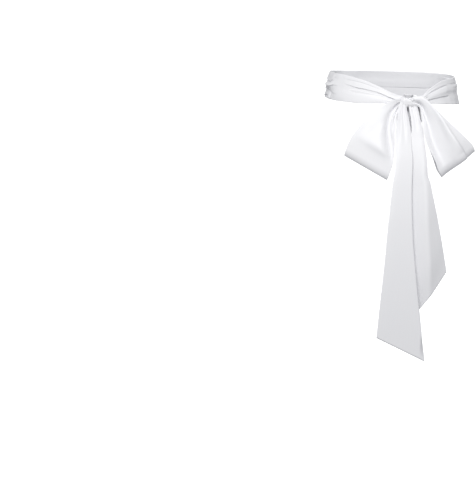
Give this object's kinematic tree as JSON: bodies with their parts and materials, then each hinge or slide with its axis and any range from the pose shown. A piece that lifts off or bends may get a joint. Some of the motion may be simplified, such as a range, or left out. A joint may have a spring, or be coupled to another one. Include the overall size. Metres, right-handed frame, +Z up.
{
  "type": "satin sash",
  "caption": "Satin sash worn round a waist and tied at the front in a bow, with a gathered knot, a folded loop at each side and hanging tails cut on the bias.",
  "frame": {"origin": "middle of the wearer's waist, at the height where the sash is held", "axes": "+Z up along the wearer's body, -Y towards the front, where the bow hangs, +X towards the viewer's right"},
  "size_m": [0.3031, 0.2988, 0.5588],
  "materials": {
    "satin": "white satin with a soft sheen, smooth, in one colour"
  },
  "bodies": {
    "root": {"waistband": "satin", "knot": "satin", "loop_left": "satin", "loop_right": "satin", "tail_long": "satin", "tail_short": "satin"}
  },
  "joints": []
}
